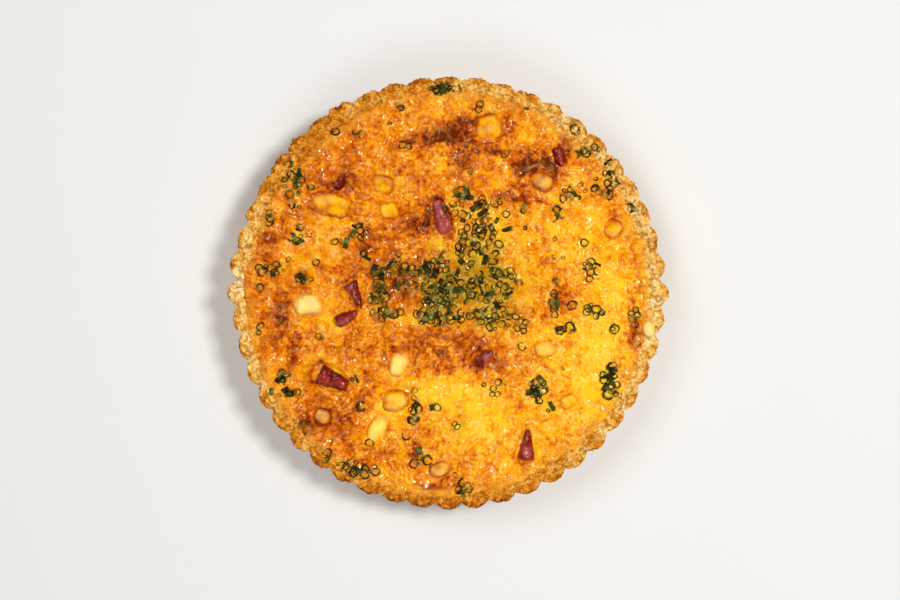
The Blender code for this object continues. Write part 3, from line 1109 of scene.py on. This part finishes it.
# %% Materials of the ham and cheese
ham_paint, tree, shader = new_material("cured_ham", 0.35)
meat = mix(tree, speckle(tree, 4.0, seed=21).between(0.35, 0.65), "5A0A05", "9A1C10")
meat = mix(tree, stored(tree, "pink_and_lit_side").between(0.35, 0.9) * 0.8, meat, "B85A54")
meat = mix(tree, speckle(tree, 1.4, seed=22).between(0.56, 0.72) * 0.45, meat, "D9A094")
meat = mix(tree, stored(tree, "rim").between(0.85, 1.05) * 0.5, meat, "8A3A14")
wet = speckle(tree, 3.0, seed=23).between(0.3, 0.7, 0.15, 0.4)
finish_shader(
    tree, shader, meat, roughness=wet, grain=speckle(tree, 0.8, seed=24), depth=0.2, strength=0.5,
    Specular_IOR_Level=0.2, Specular_Tint=colour("FFD8C0"), Coat_Weight=0.15, Coat_Roughness=0.12,
)

CHEESE_BAKED = (
    (0.0, "FFD83A"), (0.2, "F8BC14"), (0.4, "EC9C04"),
    (0.6, "C86808"), (0.8, "96400A"), (1.0, "6A2406"),
)

cheese_paint, tree, shader = new_material("melted_cheese", 0.35)
value = stored(tree, "toast") + (speckle(tree, 1.6, seed=31).between(0.32, 0.68) - 0.5) * 0.14
soft = ramp(tree, value.clamped(), CHEESE_BAKED)
soft = mix(tree, stored(tree, "cream").clamped() * 0.85, soft, "F9E29A")
wet = speckle(tree, 4.0, seed=33).between(0.3, 0.7, 0.15, 0.4)
finish_shader(
    tree, shader, soft, roughness=wet, grain=speckle(tree, 1.2, seed=34), depth=0.15, strength=0.35,
    Specular_IOR_Level=0.1, Specular_Tint=colour("FFE6B4"),
    Subsurface_Weight=0.08, Subsurface_Scale=2 * MM, Subsurface_Radius=(1.0, 0.6, 0.2),
)

# %% [markdown]
# Every solid now becomes its piece. One small bead of cheese boiled over onto the right of the rim. It
# has no solid of its own, so it is a ball of triangles, flattened and bumped.

# %% Make every piece of ham and cheese
ham_pieces = [cut_ham(name) for name in HAM]
cheese_pieces = [soften_cheese(name) for name in CHEESE]
bead_mesh = bpy.data.meshes.new("bead_of_cheese")
edit = bmesh.new()
bmesh.ops.create_icosphere(edit, subdivisions=4, radius=1.0 * MM)
edit.to_mesh(bead_mesh)
edit.free()
bead_points = points_of(bead_mesh) * (3.1, 3.9, 1.9) + (102.2, -18.5, RIM_HEIGHT - 0.3)
bead_points += 0.35 * np.column_stack([bumps(bead_points, 4.0, 121 + axis) for axis in range(3)])
move_points(bead_mesh, bead_points)
bead_mesh.shade_smooth()
store(bead_mesh, "toast", 0.2 + 0.3 * bumps(bead_points, 3.0, 124))
store(bead_mesh, "cream", 0.75 + 0.4 * bumps(bead_points, 2.5, 125))
bead_mesh.materials.append(cheese_paint)
bead = place(bead_mesh, "bead_of_cheese")
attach(bead, "root")
print("ham and cheese have", sum(len(p.data.polygons) for p in ham_pieces + cheese_pieces), "faces")

# %% [markdown]
# The chives were cut into short tubes, and most lie with their open end up. The cook dropped them in
# groups: most are in the middle, and the others are single or in small clusters. Each group is an
# ellipse, listed one by one.

# %% Where the chives fell
CHIVE_GROUPS = (
    # centre x, centre y, half sizes, how many
    (-26, 12, 12, 2.5, 16),
    (-35, 0, 3, 11, 20),
    (-32, -10, 8, 2, 9),
    (-23, 4, 3, 3, 4),
    (-5, 4, 9, 14, 62),
    (-4, -12, 13, 4, 22),
    (15, 23, 12, 11, 34),
    (21, 5, 17, 8, 36),
    (22, -11, 10, 6, 24),
    (34, -14, 6, 4, 6),
    (14, 42, 17, 7, 20),
    (7, 50, 5, 3, 8),
    (-50, 82, 8, 2, 3),
    (-29, 86, 1, 1, 1),
    (-24, 96, 2, 2, 2),
    (-3, 105, 7, 2.5, 14),
    (-79, 57, 4, 8, 14),
    (-77, 44, 4, 1, 2),
    (-91, 39, 2, 4, 4),
    (-70, 53, 1, 1, 1),
    (-21, 75, 2, 2, 2),
    (-45, 33, 5, 6, 7),
    (-76, 30, 4, 4, 9),
    (-54, 26, 4, 1, 3),
    (-42, 18, 2, 2, 2),
    (-67, 16, 1, 1, 1),
    (-82, 18, 1, 1, 1),
    (-90, 11, 6, 3, 10),
    (-96, 3, 1, 1, 1),
    (-73, 8, 4, 2, 6),
    (-97, -17, 1, 5, 2),
    (-65, -22, 1, 1, 1),
    (-27, 18, 3, 3, 3),
    (-10, 35, 1, 1, 1),
    (-85, -42, 2, 4, 7),
    (-81, -51, 4, 2, 6),
    (-90, -51, 1, 1, 1),
    (-64, -34, 1, 1, 1),
    (-48, -45, 2, 2, 2),
    (-44, -57, 5, 1, 2),
    (-40, -76, 1, 1, 1),
    (-17, -52, 2, 4, 2),
    (-17, -63, 3, 5, 8),
    (-22, -73, 1, 1, 1),
    (-5, -58, 4, 1, 2),
    (3, -67, 3, 2, 2),
    (-14, -86, 4, 6, 5),
    (-63, -83, 2, 2, 2),
    (-45, -90, 11, 3, 17),
    (9, -99, 5, 3, 9),
    (4, -92, 1, 1, 1),
    (37, -28, 1, 1, 1),
    (23, -49, 6, 5, 5),
    (46, -49, 4, 5, 15),
    (52, -58, 2, 3, 3),
    (83, -45, 4, 8, 20),
    (58, -38, 1, 1, 1),
    (23, 32, 7, 2, 6),
    (55, 28, 1, 1, 1),
    (69, 25, 1, 1, 1),
    (56, 18, 6, 1, 2),
    (40, 34, 1, 1, 1),
    (56, 40, 3, 3, 3),
    (73, 13, 4, 3, 7),
    (72, 7, 1, 1, 1),
    (55, 6, 1, 1, 1),
    (55, -4, 3, 6, 7),
    (63, -7, 1, 1, 1),
    (74, -9, 5, 3, 7),
    (38, -17, 3, 3, 4),
    (61, -19, 5, 2, 7),
    (85, -19, 1, 1, 2),
    (95, -12, 2, 4, 6),
    (92, 43, 1, 1, 1),
    (15, 96, 2, 2, 2),
    (41, 94, 1, 1, 1),
    (67, 84, 2, 2, 2),
    (78, 76, 2, 2, 2),
    (70, 72, 4, 2, 5),
    (84, 67, 2, 2, 2),
    (81, 56, 6, 6, 13),
    (64, 52, 6, 5, 9),
    (10, 62, 2, 2, 2),
    (30, 71, 1, 1, 1),
    (39, 43, 2, 2, 2),
    (24, 47, 2, 2, 2),
)
print(len(CHIVE_GROUPS), "groups of chives")

# %% [markdown]
# Inside its group each cut falls at random, but not on another one if there is room. It lands on the
# baked surface, leans with the slope there, and is pressed a little into the skin. A few lie on their
# side. None may stand above the highest level, so a tall one is pushed down.


# %% Drop the chives
def surface_under(pieces):
    """A search tree over the evaluated shapes of several pieces."""
    points, faces, start = [], [], 0
    for piece in pieces:
        points.extend(v.co for v in piece.data.vertices)
        faces.extend([i + start for i in p.vertices] for p in piece.data.polygons)
        start = len(points)
    return BVHTree.FromPolygons(points, faces)


def drop(ground, x, y, width):
    """Drops a ring of this radius on the ground. Returns where its middle lands and the slope there."""
    hits = []
    for off_x, off_y in ((0, 0), (width, 0), (-width, 0), (0, width), (0, -width)):
        start = Vector((x + off_x, y + off_y, 100)) * MM
        hits.append(ground.ray_cast(start, Vector((0, 0, -1)))[0].z / MM)
    slope = Vector(((hits[2] - hits[1]) / (2 * width), (hits[4] - hits[3]) / (2 * width), 1)).normalized()
    return Vector((x, y, max(hits[0], sum(hits) / 5))), slope


CLEARANCE = (0.5, 3.0)
TRIES = 12
LYING = 0.15
MOST_TILT = 35


def scatter_chives(groups, seed):
    """One row for each cut: place, turn as Euler angles, radius, roundness, length and freshness."""
    rng = np.random.default_rng(seed)
    ground = surface_under([filling, crust] + ham_pieces + cheese_pieces)
    rows = []
    fallen = []
    for centre_x, centre_y, half_x, half_y, count in groups:
        for _ in range(count):
            clearance = rng.uniform(*CLEARANCE)
            for attempt in range(TRIES):
                way = rng.uniform(0, 2 * math.pi)
                far = math.sqrt(rng.random()) * (1 + 0.04 * attempt)
                off_x = half_x * far * math.cos(way)
                off_y = half_y * far * math.sin(way)
                across = Vector((centre_x + off_x, centre_y + off_y))
                across *= min(1, (RIM_RADIUS - 5) / across.length)
                if all((across - other).length > clearance for other in fallen):
                    break
            fallen.append(across)
            width = rng.choice((1.0, 1.6, 1.9, 2.2)) * rng.uniform(0.85, 1.1)
            where, slope = drop(ground, across.x, across.y, width)
            lying = rng.random() < LYING
            length = rng.uniform(2.5, 5.5) if lying else rng.uniform(1.6, 2.4)
            tilt = math.radians(rng.uniform(75, 90) if lying else min(MOST_TILT, abs(rng.normal(0, 15))))
            lean = Vector((0, 0, 1)).rotation_difference(slope)
            tip = Euler((tilt, 0, rng.uniform(0, 2 * math.pi)), "XYZ").to_quaternion()
            turn = (lean @ tip).to_euler()
            upright = abs((lean @ tip @ Vector((0, 0, 1))).z)
            width *= 0.6 if lying else 1.0
            where.z += 0.3 * width if lying else rng.uniform(0.35, 0.8) - length / 2
            half_height = length / 2 * upright + width * math.sqrt(1 - upright**2)
            where.z = min(where.z, HIGHEST - 0.7 - half_height)
            rows.append((*where, *turn, width, rng.uniform(0.72, 1.0), length, rng.random()))
    return np.array(rows)


chive_rows = scatter_chives(CHIVE_GROUPS, seed=12)
print(len(chive_rows), "cuts of chive")

# %% [markdown]
# One tree makes all the cuts: a thin rectangle goes round a small circle, and that ring is put on every
# point of a cloud. Its turn and its size are numbers stored on its point. Noise then bends the rings, so
# no two are the same.

# %% Geometry tree of the chives
CHIVE_NUMBERS = {"Sides": 16, "Wall": 0.3 * MM, "Wobble": 1.1 * MM}


def build_chive_tree(material):
    tree, given = new_geometry_tree("chive_rings", CHIVE_NUMBERS)
    circle = {"Resolution": given["Sides"], "Radius": 1.0 * MM}
    ring = node(tree, "GeometryNodeCurvePrimitiveCircle", circle).outputs["Curve"]
    section = node(
        tree, "GeometryNodeCurvePrimitiveQuadrilateral",
        {"Width": given["Wall"], "Height": 1.0 * MM}, mode="RECTANGLE",
    ).outputs["Curve"]
    tube = node(tree, "GeometryNodeCurveToMesh", {"Curve": ring, "Profile Curve": section}).outputs["Mesh"]

    def from_point(name, kind):
        made = node(tree, "GeometryNodeInputNamedAttribute", {"Name": name}, data_type=kind)
        return made.outputs["Attribute"]

    inputs = {"Points": given["Geometry"], "Instance": tube, "Rotation": from_point("pose", "FLOAT_VECTOR")}
    inputs["Scale"] = from_point("stretch", "FLOAT_VECTOR")
    rings = node(tree, "GeometryNodeInstanceOnPoints", inputs).outputs["Instances"]
    real = node(tree, "GeometryNodeRealizeInstances", {"Geometry": rings}).outputs[0]
    wobble = node(tree, "ShaderNodeTexNoise", {"Scale": 1 / (2.2 * MM), "Detail": 1.0}).outputs["Color"]
    centring = {0: wobble, 1: (0.5, 0.5, 0.5)}
    centred = node(tree, "ShaderNodeVectorMath", centring, operation="SUBTRACT").outputs[0]
    scaling = {0: centred, "Scale": given["Wobble"]}
    push = node(tree, "ShaderNodeVectorMath", scaling, operation="SCALE").outputs[0]
    bent = node(tree, "GeometryNodeSetPosition", {"Geometry": real, "Offset": push}).outputs[0]
    painted = node(tree, "GeometryNodeSetMaterial", {"Geometry": bent, "Material": material}).outputs[0]
    tree.links.new(painted, tree.nodes.new("NodeGroupOutput").inputs[0])
    return tree


def vector_attribute(mesh, name, rows):
    mesh.attributes.new(name, "FLOAT_VECTOR", "POINT").data.foreach_set("vector", np.asarray(rows).ravel())


# %% [markdown]
# In the oven chives turn from green to a dark olive. Noise shades them from near black to pale straw, and
# the palest spots are painted highlights. A few stay fresh and green.

# %% Make the chives
# The palest stop of the ramp is a painted highlight; the darker stops are the chives' own baked olive.
DRIED_AND_HIGHLIT = ((0.0, "16140A"), (0.4, "2E2C0E"), (0.72, "54501A"), (1.0, "A69C58"))

chive_paint, tree, shader = new_material("baked_chive", 0.5)
value = speckle(tree, 3.0, seed=41)
base = ramp(tree, value.between(0.3, 0.7).clamped(), DRIED_AND_HIGHLIT)
green = stored(tree, "fresh").between(0.6, 1.0)
base = mix(tree, green * 0.5, base, "4A5E14")
finish_shader(
    tree, shader, base, roughness=speckle(tree, 2.0, seed=42).between(0.3, 0.7, 0.3, 0.6),
    grain=speckle(tree, 0.7, seed=43), depth=0.06, strength=0.3,
    Specular_IOR_Level=0.15, Specular_Tint=WARM_SHINE,
)

cloud = bpy.data.meshes.new("chive_cloud")
cloud.from_pydata((chive_rows[:, :3] * MM).tolist(), [], [])
ring_width, roundness, ring_length, freshness = chive_rows[:, 6:].T
vector_attribute(cloud, "pose", chive_rows[:, 3:6])
vector_attribute(cloud, "stretch", np.column_stack((ring_width, ring_width * roundness, ring_length)))
store(cloud, "fresh", freshness)
chives = grow(place(cloud, "cloud"), build_chive_tree(chive_paint), CHIVE_NUMBERS, "chive_rings")
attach(chives, "root")
print("the chives have", len(chives.data.polygons), "faces")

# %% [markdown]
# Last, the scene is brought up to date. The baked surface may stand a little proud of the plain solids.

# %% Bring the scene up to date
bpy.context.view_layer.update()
